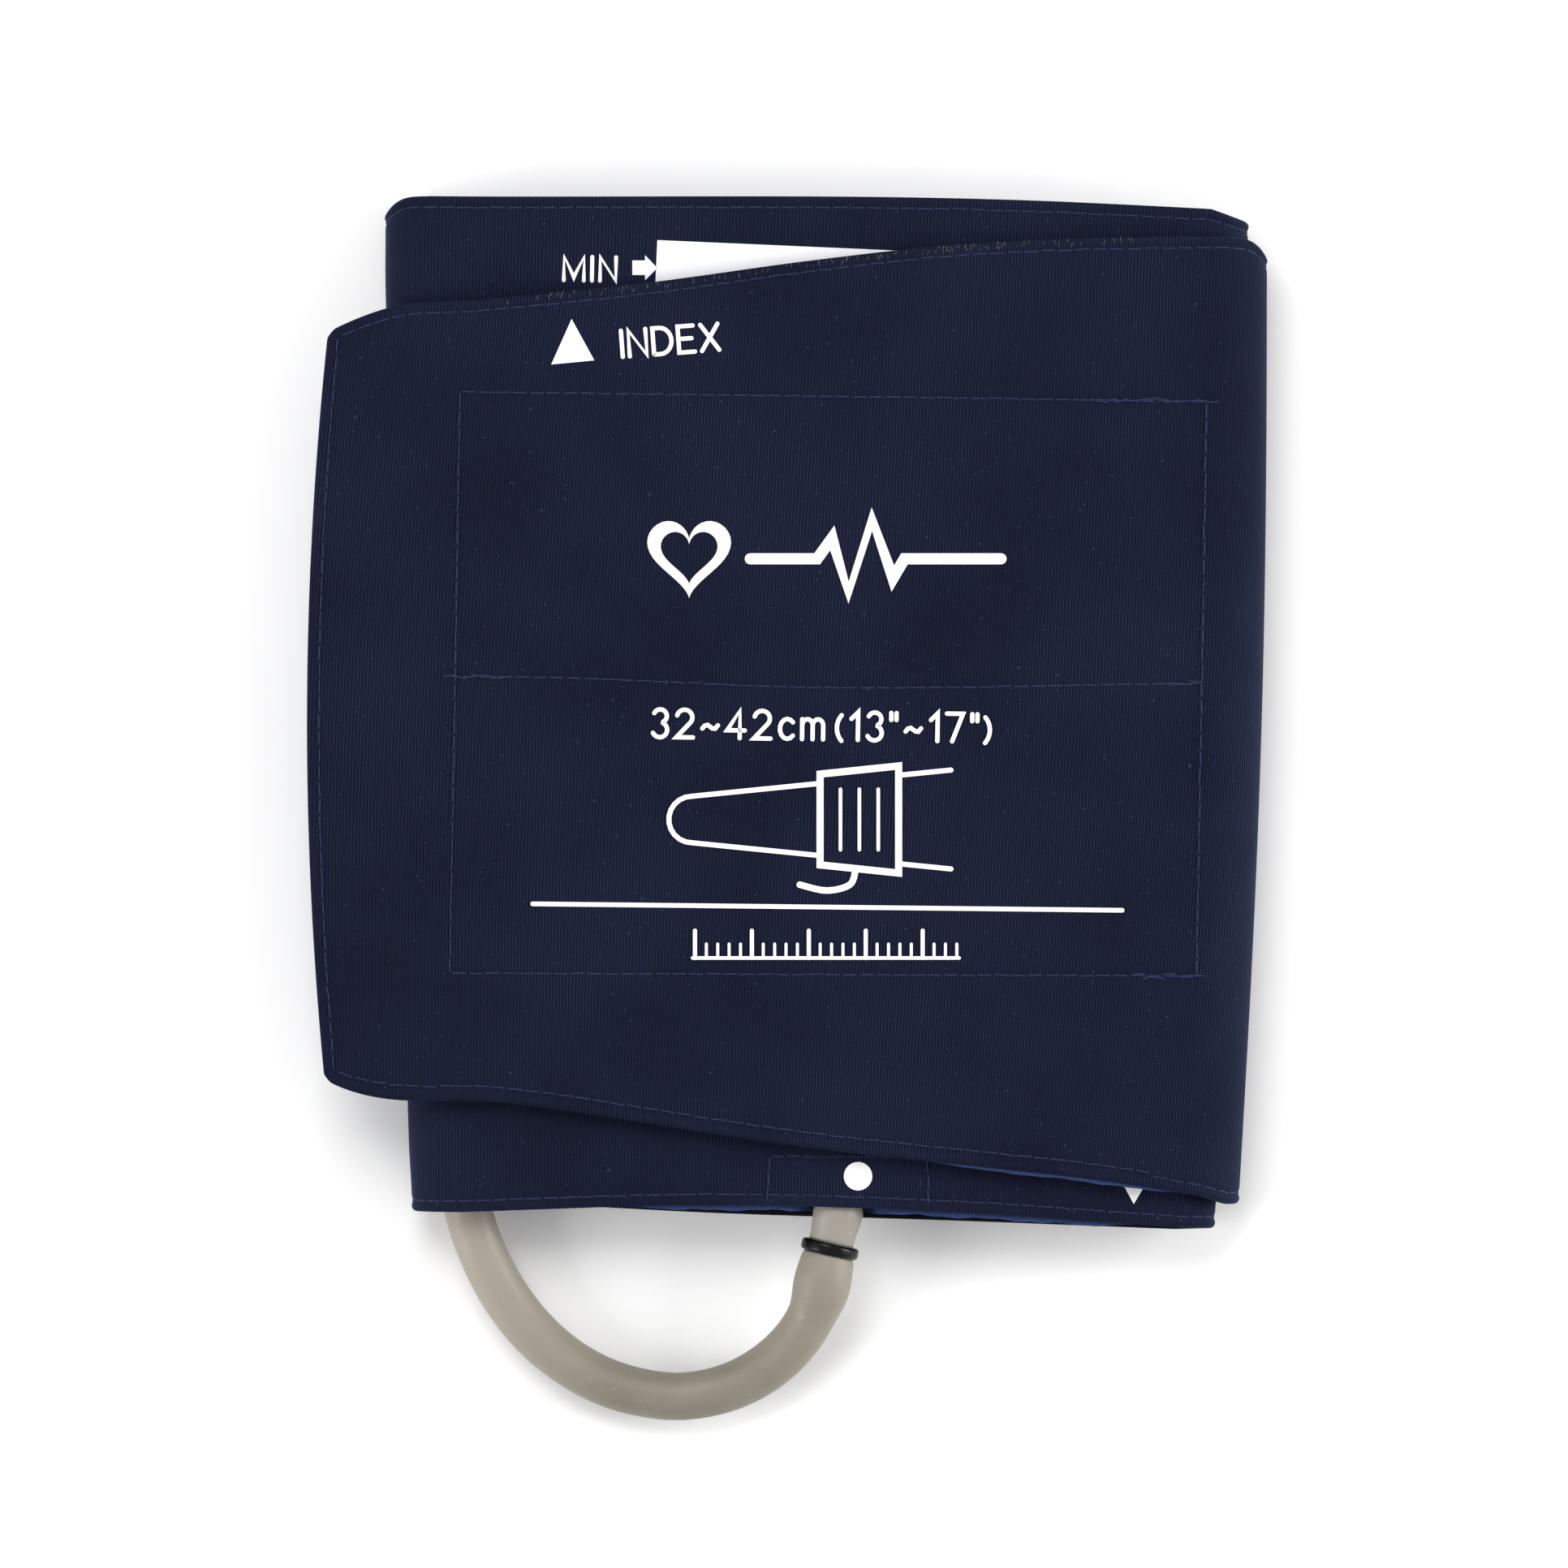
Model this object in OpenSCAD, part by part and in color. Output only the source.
// Upper-arm blood pressure cuff, wrapped into a flat roll for storage.
// The strip's width runs along Y and +Z is up. The roll rests on its back panel.
// Going round the roll: inner end, inner fold, middle panel, left fold, back panel, spine, flap, pull tab.

/* [Fabric] */
// Thickness of one fabric ply
ply = 0.75; // [0.6:0.05:0.8]
// Thickness of the hook tape
hook_t = 1.3; // [1:0.1:1.6]
// Thickness of the sewing thread where it lies on the fabric
thread_t = 0.12; // [0.08:0.01:0.14]
// Width of the sewing thread
thread_w = 0.35; // [0.25:0.05:0.5]
// Distance of the edge stitching from the edge
edge_inset = 1.9; // [1.5:0.1:3]

/* [Roll] */
// Height left for the arm in the flattened roll
arm_gap = 6.15; // [6.1:0.05:7.5]
// Thickness of the air bladder
bladder_t = 2.3; // [2.2:0.1:2.6]
// Where the inner end stops, along X
inner_end_x = -38; // [-44:1:-20]
// Where the bladder stops in the middle panel, along X
bladder_end_x = -54; // [-55:1:-40]
// Half the bladder's width
bladder_half = 76; // [72:0.5:76]

/* [Flap] */
// How far the flap's free edge bows out
free_edge_bow = 3.3; // [2:0.1:5]
// Width of one of the two hook tapes
hook_w = 51.5; // [45:0.5:52]
// Where the hook tapes meet, along Y
hook_mid_y = 5.4; // [4:0.2:7]

/* [Hose] */
// Outer diameter of the hose
hose_d = 8.3; // [7.5:0.1:8.4]
// Outer diameter of the bladder's short tube
stub_d = 7.8; // [7.4:0.1:8]
// Bore of the bladder's short tube
stub_bore = 4; // [3.5:0.1:4.5]
// Outer diameter of the coupler's flange
coupler_d = 10; // [9:0.1:10.5]
// Diameter of the air plug's nose
plug_d = 4.4; // [4:0.1:5]
// Length of the air plug's nose
plug_len = 13; // [10:0.5:14]

/* [Hidden] */
$fn = 72;

// Colours
navy = [0.12, 0.13, 0.22];
lining_blue = [0.17, 0.19, 0.29];
hook_blue = [0.08, 0.09, 0.15];
thread_blue = [0.25, 0.29, 0.42];
bladder_grey = [0.55, 0.56, 0.58];
hose_grey = [0.6, 0.58, 0.54];
plastic_black = [0.08, 0.08, 0.09];
plug_grey = [0.45, 0.46, 0.48];

// Gaps: between the plies of a panel, beside the bladder, between panels, and between moving bodies
ply_gap = 0.05;
bladder_gap = 0.12;
panel_gap = 0.45;
body_gap = 0.2;

// Lowest level of each layer, from the table up
back_shell_z = 0;
back_lining_z = back_shell_z + ply + ply_gap;
end_shell_z = back_lining_z + ply + panel_gap;
end_bladder_z = end_shell_z + ply + bladder_gap;
end_lining_z = end_bladder_z + bladder_t + bladder_gap;
mid_lining_z = end_lining_z + ply + arm_gap;
mid_bladder_z = mid_lining_z + ply + bladder_gap;
mid_shell_z = mid_bladder_z + bladder_t + bladder_gap;
hook_z = mid_shell_z + ply + 0.35;
flap_lining_z = hook_z + hook_t + 0.1;
flap_shell_z = flap_lining_z + ply + ply_gap;
flap_top_z = flap_shell_z + ply;

// Fold lines: X at Y = 0, and the tilt from the Y axis in degrees
spine_line = [70.5, 1.71];
inner_line = [69.97, 1.93];
left_line = [-59.44, -1.56];
crease_line = [-60, 0.98];
function on(line, y) = [line[0] + y * tan(line[1]), y];

// Free edge of the flap: an arc between its two corners
free_top = [-79.1, 66];
free_low = [-79.7, -63];
free_steps = 12;
function bowed(a, b, bow, n) = [
    for (i = [0 : n])
        let (t = i / n, across = unit([a.y - b.y, b.x - a.x]))
        a + t * (b - a) - 4 * bow * t * (1 - t) * across
];

// Edges of the panels, each from its right end to its left
flap_top_edge = [on(spine_line, 82), [46, 81.6], [4, 77.9], [-24, 74.1], [-70, 69]];
flap_low_edge = [on(spine_line, -84.1), [57, -82.4], [4, -74.7], [-49, -66.9], [-77, -64.2]];
mid_top_edge = [on(inner_line, 86.9), [46, 88.2], on(left_line, 89.1)];
mid_low_edge = [on(inner_line, -88.4), [28, -85.8], [-10, -84.6], on(left_line, -85.8)];
end_top_edge = [on(inner_line, 86.9), [46, 87], [inner_end_x, 86]];
end_low_edge = [on(inner_line, -89.1), [28, -87.6], [-15, -86.2], [inner_end_x, -85]];
back_top_edge = [on(spine_line, 82), on(left_line, 89.1)];
back_low_edge = [on(spine_line, -84.1), [-40, -84.7], on(left_line, -85.8)];
flap_rim = concat(flap_top_edge, bowed(free_top, free_low, free_edge_bow, free_steps),
                  [for (i = [len(flap_low_edge) - 1 : -1 : 0]) flap_low_edge[i]]);

// Outlines that trim the folds, past the silhouette on the folded side
spine_corners = [[79, -84.7], [84, 78.7]];
spine_trim = concat([[50, 82], on(spine_line, 82)], [spine_corners[1], spine_corners[0]],
                    [on(spine_line, -84.1), [50, -84.1]]);
flap_outline = concat(flap_rim, spine_corners);
back_rim = concat(back_top_edge, [on(left_line, -85.8), [-40, -84.7], on(spine_line, -84.1)], spine_corners);
inner_trim = [[50, 87], on(inner_line, 86.9), [82, 84.2], [76, -89.1], [50, -89.1]];
left_trim = [[-50, 89.1], on(left_line, 89.1), [-71, 86.1], [-66, -85.8], [-50, -85.8]];

// Stitched rectangle of the hook tapes
stitch_left = [-57.35, 0.98];
stitch_right = [71, 1];
stitch_tape = 1.8;
row_top = [[71.9, 53.6], [44, 54], [-56.4, 55.3]];
row_mid = [[71.1, 5.2], [0, 4.6], [-40, 6.2], [-57.3, 6.4]];
row_low = [[70.2, -45.1], [-58.1, -44.6]];

// The short tube leaves the lower edge of the middle panel here, turned by tube_turn
exit_place = [8.8, -85.3, 10.8];
tube_turn = -13;
port_d = 8.8;
port_in = 18;
port_out = 1.2;
port_block = [11, 7];
coupler_from = 6.1;
coupler_t = 2;
coupler_spigot = 5;

// Stitched rectangle where the tube leaves
exit_box = [[-3.6, -84.2], [24.4, -76.4]];

// Route of the hose: from the coupler, round in a U on the table, then up into the roll and along it
hose_route = [
    [7, -93.3, 10.8], [6.2, -96.8, 10.8], [5.2, -100.8, 10.3], [3.5, -104.8, 9.3], [0.9, -108.6, 8],
    [-2.8, -112.2, 6.7], [-7.5, -115.2, 5.5], [-13, -117.2, 4.7], [-19, -118, 4.3], [-25, -117.4, 4.2],
    [-31, -115.7, 4.2], [-36.6, -112.9, 4.2], [-41.8, -109, 4.2], [-46, -104.6, 4.4], [-49.4, -99.8, 4.9],
    [-52, -94.9, 5.6], [-54, -90, 6.2], [-55.4, -85, 6.6], [-56.4, -79, 6.8], [-57, -72, 6.9],
    [-57.4, -60, 6.9], [-57.7, -44, 6.9], [-58, -26, 6.9], [-58.3, -8, 6.9], [-58.5, 10, 6.9],
    [-58.7, 26, 6.9], [-58.8, 42, 6.9], [-58.8, 54, 6.9]
];
hose_sides = 12;
plug_place = [-58.8, 54, 6.9];
plug_grip = [8.4, 6];
plug_flange = [7, 1.5];
plug_hole = 1.6;

function unit(v) = v / norm(v);
function left_of(a, b) = let (d = unit(b - a)) [-d.y, d.x];

// A path moved sideways by w, with mitred corners
function beside(path, w) = [
    for (i = [0 : len(path) - 1])
        let (
            last = len(path) - 1,
            before = left_of(path[max(i - 1, 0)], path[max(i, 1)]),
            after = left_of(path[min(i, last - 1)], path[min(i + 1, last)])
        )
        path[i] + w * (before + after) / (1 + before * after)
];
function backwards(path) = [for (i = [len(path) - 1 : -1 : 0]) path[i]];

// Flat shapes
module band(right_to_left_top, right_to_left_low) {
    polygon(concat(right_to_left_top, backwards(right_to_left_low)));
}

module thread_line(path) {
    polygon(concat(beside(path, thread_w / 2), backwards(beside(path, -thread_w / 2))));
}

// The part of the plane on one side of a fold line, less a gap: side is 1 for the right and -1 for the left
module half_plane(line, side, gap) {
    far = 120;
    shift = [side * gap, 0];
    polygon([on(line, -far) + shift, on(line, far) + shift,
             on(line, far) + side * [2 * far, 0], on(line, -far) + side * [2 * far, 0]]);
}

module layer(z, t) {
    translate([0, 0, z]) linear_extrude(t) children();
}

// Part of a tube wall, between two angles round from +X
module ring_part(r, t, a0, a1) {
    far = 3 * r;
    mid = (a0 + a1) / 2;
    intersection() {
        difference() {
            circle(r);
            circle(r - t);
        }
        polygon([[0, 0], far * [cos(a0), sin(a0)], far * [cos(mid), sin(mid)], far * [cos(a1), sin(a1)]]);
    }
}

// A ply that bends round a fold line, from the level low_z to the level high_z, over the angles a0 to a1
module bend(line, low_z, high_z, t, a0, a1, trim) {
    r = (high_z + t - low_z) / 2;
    intersection() {
        translate([line[0], 0, low_z + r]) rotate([0, 0, -line[1]]) rotate([90, 0, 0])
            linear_extrude(200, center = true) ring_part(r, t, a0, a1);
        translate([0, 0, low_z - 1]) linear_extrude(2 * r + 2) polygon(trim);
    }
}

// Points of an arc round [0, r] in a section, from the angle a0 to a1
arc_step = 4;
function arc_points(r, centre_z, a0, a1) = [
    let (n = ceil(abs(a1 - a0) / arc_step))
    for (i = [0 : n])
        let (a = a0 + (a1 - a0) * i / n)
        [r * cos(a), centre_z + r * sin(a)]
];

// A flat ply and the start of its bend in one piece: a section swept along the fold line and trimmed
module swept_section(line, section, outline) {
    intersection() {
        translate([line[0], 0, 0]) rotate([0, 0, -line[1]]) rotate([90, 0, 0])
            linear_extrude(200, center = true) polygon(section);
        translate([0, 0, -1]) linear_extrude(30) polygon(outline);
    }
}

module low_ply_with_curl(line, low_z, high_z, t, outline) {
    r = (high_z + t - low_z) / 2;
    far = 180;
    swept_section(line, concat(
        arc_points(r, low_z + r, -90, -46), arc_points(r - t, low_z + r, -46, -90),
        [[-far, low_z + t], [-far, low_z]]), outline);
}

module high_ply_with_curl(line, low_z, high_z, t, outline) {
    r = (high_z + t - low_z) / 2;
    far = 180;
    swept_section(line, concat(
        arc_points(r, low_z + r, 46, 90), [[-far, high_z + t], [-far, high_z]],
        arc_points(r - t, low_z + r, 90, 46)), outline);
}

// Round pieces along the short tube: s is the distance out of the cuff
module along_exit(s0, s1, d) {
    translate(exit_place) rotate([0, 0, tube_turn]) rotate([90, 0, 0])
        translate([0, 0, s0]) cylinder(h = s1 - s0, d = d);
}

module exit_slot(w, depth, z, t) {
    translate([exit_place.x, exit_place.y, z]) rotate([0, 0, tube_turn])
        translate([-w / 2, -20, 0]) cube([w, depth + 20, t]);
}

// Panels of the roll
module shell_back() {
    color(navy) low_ply_with_curl(spine_line, back_shell_z, flap_shell_z, ply, back_rim);
}

module lining_back() {
    color(lining_blue) low_ply_with_curl(spine_line, back_lining_z, flap_lining_z, ply, back_rim);
}

module shell_left_fold() {
    color(navy) bend(left_line, back_shell_z, mid_shell_z, ply, 90, 270, left_trim);
}

module lining_left_fold() {
    color(lining_blue) bend(left_line, back_lining_z, mid_lining_z, ply, 90, 270, left_trim);
}

module shell_middle() {
    color(navy) layer(mid_shell_z, ply) band(mid_top_edge, mid_low_edge);
}

module lining_middle() {
    color(lining_blue) difference() {
        layer(mid_lining_z, ply) band(mid_top_edge, mid_low_edge);
        exit_slot(port_d + 0.6, port_in + 0.6, mid_lining_z - 1, ply + 2);
    }
}

module shell_inner_fold() {
    color(navy) bend(inner_line, end_shell_z, mid_shell_z, ply, -90, 90, inner_trim);
}

module lining_inner_fold() {
    color(lining_blue) bend(inner_line, end_lining_z, mid_lining_z, ply, -90, 90, inner_trim);
}

module shell_inner_end() {
    color(navy) layer(end_shell_z, ply) band(end_top_edge, end_low_edge);
}

module lining_inner_end() {
    color(lining_blue) layer(end_lining_z, ply) band(end_top_edge, end_low_edge);
}

// Air bladder: one flat bag that lies in the middle panel, the inner fold and the inner end
module bladder() {
    r = (mid_bladder_z + bladder_t - end_bladder_z) / 2;
    centre_z = end_bladder_z + r;
    high_end = bladder_end_x - inner_line[0];
    low_end = inner_end_x + 6 - inner_line[0];
    color(bladder_grey) difference() {
        swept_section(inner_line, concat(
            arc_points(r, centre_z, -90, 90),
            [[high_end, centre_z + r], [high_end, mid_bladder_z]],
            arc_points(r - bladder_t, centre_z, 90, -90),
            [[low_end, end_bladder_z + bladder_t], [low_end, end_bladder_z]]),
            [[-90, -bladder_half], [90, -bladder_half], [90, bladder_half], [-90, bladder_half]]);
        exit_slot(port_block.x + 0.4, port_in + 1.6, mid_bladder_z - 0.5, bladder_t + 1);
    }
}

module bladder_port() {
    color(bladder_grey) difference() {
        union() {
            along_exit(-port_in, port_out, port_d);
            translate([exit_place.x, exit_place.y, mid_bladder_z]) rotate([0, 0, tube_turn])
                translate([-port_block.x / 2, port_in + 1 - port_block.y, 0])
                    cube([port_block.x, port_block.y, bladder_t]);
        }
        along_exit(1 - port_in, port_out + 1, stub_d + 0.1);
    }
}

module stub_tube() {
    color(hose_grey) difference() {
        along_exit(1.2 - port_in, coupler_from, stub_d);
        along_exit(0, coupler_from + 1, stub_bore);
        along_exit(-port_in, 0.1, stub_bore - 1);
    }
}

module tube_exit_patch() {
    patch_t = 0.2;
    color(navy) layer(mid_shell_z - patch_t - 0.03, patch_t)
        translate(exit_box[0]) square(exit_box[1] - exit_box[0]);
}

module tube_coupler() {
    color(plastic_black) difference() {
        union() {
            along_exit(coupler_from, coupler_from + coupler_t, coupler_d);
            along_exit(coupler_from - coupler_spigot, coupler_from + 0.1, stub_bore - 0.1);
        }
        along_exit(coupler_from - coupler_spigot - 1, coupler_from + coupler_t + 1, 2);
    }
}

// A tube with one ring of corners at each point of its path
module swept_tube(path, d, sides) {
    n = len(path);
    corners = [
        for (i = [0 : n - 1])
            let (
                along = unit(path[min(i + 1, n - 1)] - path[max(i - 1, 0)]),
                across = unit(cross(along, [0, 0, 1])),
                up = cross(across, along)
            )
            for (k = [0 : sides - 1])
                path[i] + d / 2 * (cos(k * 360 / sides) * across + sin(k * 360 / sides) * up)
    ];
    walls = [
        for (i = [0 : n - 2], k = [0 : sides - 1])
            let (a = i * sides + k, b = i * sides + (k + 1) % sides)
            each [[a, b, b + sides], [a, b + sides, a + sides]]
    ];
    first = [for (k = [sides - 1 : -1 : 0]) k];
    last = [for (k = [0 : sides - 1]) (n - 1) * sides + k];
    polyhedron(corners, concat([first, last], walls));
}

module hose() {
    color(hose_grey) swept_tube(hose_route, hose_d, hose_sides);
}

module plug_body() {
    color(plug_grey) translate(plug_place) rotate([-90, 0, 0]) difference() {
        union() {
            cylinder(h = plug_grip[1], d = plug_grip[0]);
            translate([0, 0, plug_grip[1]]) cylinder(h = plug_flange[1], d = plug_flange[0]);
            translate([0, 0, plug_grip[1] + plug_flange[1]]) cylinder(h = plug_len, d = plug_d);
        }
        translate([0, 0, plug_grip[1]]) cylinder(h = plug_flange[1] + plug_len + 1, d = plug_hole);
    }
}

// Stitching of the roll
module edge_rows(top_edge, low_edge, z) {
    color(thread_blue) layer(z, thread_t) {
        thread_line(beside(top_edge, edge_inset));
        thread_line(beside(low_edge, -edge_inset));
    }
}

module back_stitching() {
    edge_rows(back_top_edge, back_low_edge, back_lining_z + ply);
}

module middle_stitching() {
    edge_rows(mid_top_edge, mid_low_edge, mid_shell_z + ply);
}

module inner_end_stitching() {
    edge_rows(end_top_edge, end_low_edge, end_lining_z + ply);
    color(thread_blue) layer(end_lining_z + ply, thread_t)
        thread_line([[inner_end_x + edge_inset, 80], [inner_end_x + edge_inset, -80]]);
}

module tube_exit_stitching() {
    low = exit_box[0] + [0.6, 1.6];
    high = exit_box[1] - [0.6, 0.6];
    color(thread_blue) layer(mid_shell_z + ply, thread_t)
        thread_line([[low.x, low.y], [low.x, high.y], [high.x, high.y], [high.x, low.y]]);
}

// Spine: the outer right fold, which swings open between the back panel and the flap
module shell_spine() {
    color(navy) bend(spine_line, back_shell_z, flap_shell_z, ply, -44, 44, spine_trim);
}

module lining_spine() {
    color(lining_blue) bend(spine_line, back_lining_z, flap_lining_z, ply, -44, 44, spine_trim);
}

module spine_stitching() {
    r = (flap_top_z - back_shell_z) / 2 + thread_t;
    color(thread_blue) for (y = [77.2, -82.4])
        translate([on(spine_line, y).x, y, r - thread_t]) rotate([0, 0, -spine_line[1]]) rotate([90, 0, 0])
            linear_extrude(thread_w, center = true) ring_part(r, thread_t, -44, 44);
}

// Flap and its hook tapes
module flap_ply(low_z, high_z) {
    difference() {
        high_ply_with_curl(spine_line, low_z, high_z, ply, flap_outline);
        layer(high_z - 1, ply + 2) half_plane(crease_line, -1, -body_gap);
    }
}

module shell_flap() {
    color(navy) flap_ply(back_shell_z, flap_shell_z);
}

module lining_flap() {
    color(lining_blue) flap_ply(back_lining_z, flap_lining_z);
}

// side is 1 for the upper tape and -1 for the lower one
module hook_tape(side) {
    meet_gap = 0.1;
    reach = hook_mid_y + side * hook_w;
    near = hook_mid_y + side * meet_gap;
    corners = [on(stitch_left, near), on(stitch_right, near), on(stitch_right, reach), on(stitch_left, reach)];
    color(hook_blue) layer(hook_z, hook_t)
        polygon([corners[0] - [stitch_tape, 0], corners[1], corners[2], corners[3] - [stitch_tape, 0]]);
}

module hook_tape_upper() {
    hook_tape(1);
}

module hook_tape_lower() {
    hook_tape(-1);
}

module hook_stitching() {
    color(thread_blue) layer(flap_top_z, thread_t) {
        thread_line(row_top);
        thread_line(row_mid);
        thread_line(row_low);
        thread_line([on(stitch_left, -44.2), on(stitch_left, 6)]);
        thread_line([on(stitch_left, 6.8), on(stitch_left, 54.8)]);
        thread_line([on(stitch_right, -44.6), on(stitch_right, 4.8)]);
        thread_line([on(stitch_right, 5.6), on(stitch_right, 53.1)]);
    }
}

module rim_row() {
    thread_line(beside(flap_rim, edge_inset));
}

module flap_stitching() {
    color(thread_blue) layer(flap_top_z, thread_t) intersection() {
        rim_row();
        half_plane(crease_line, 1, body_gap);
    }
}

// Pull tab: the free end of the flap past the hook tapes
module tab_part(z, t) {
    layer(z, t) intersection() {
        polygon(flap_rim);
        half_plane(crease_line, -1, body_gap);
    }
}

module shell_pull_tab() {
    color(navy) tab_part(flap_shell_z, ply);
}

module lining_pull_tab() {
    color(lining_blue) tab_part(flap_lining_z, ply);
}

module pull_tab_stitching() {
    color(thread_blue) layer(flap_top_z, thread_t) intersection() {
        rim_row();
        half_plane(crease_line, -1, body_gap);
    }
}

shell_back();
shell_left_fold();
shell_middle();
shell_inner_fold();
shell_inner_end();
lining_back();
lining_left_fold();
lining_middle();
lining_inner_fold();
lining_inner_end();
bladder();
bladder_port();
stub_tube();
tube_exit_patch();
tube_coupler();
hose();
plug_body();
back_stitching();
middle_stitching();
inner_end_stitching();
tube_exit_stitching();
shell_spine();
lining_spine();
spine_stitching();
shell_flap();
lining_flap();
hook_tape_upper();
hook_tape_lower();
flap_stitching();
hook_stitching();
shell_pull_tab();
lining_pull_tab();
pull_tab_stitching();
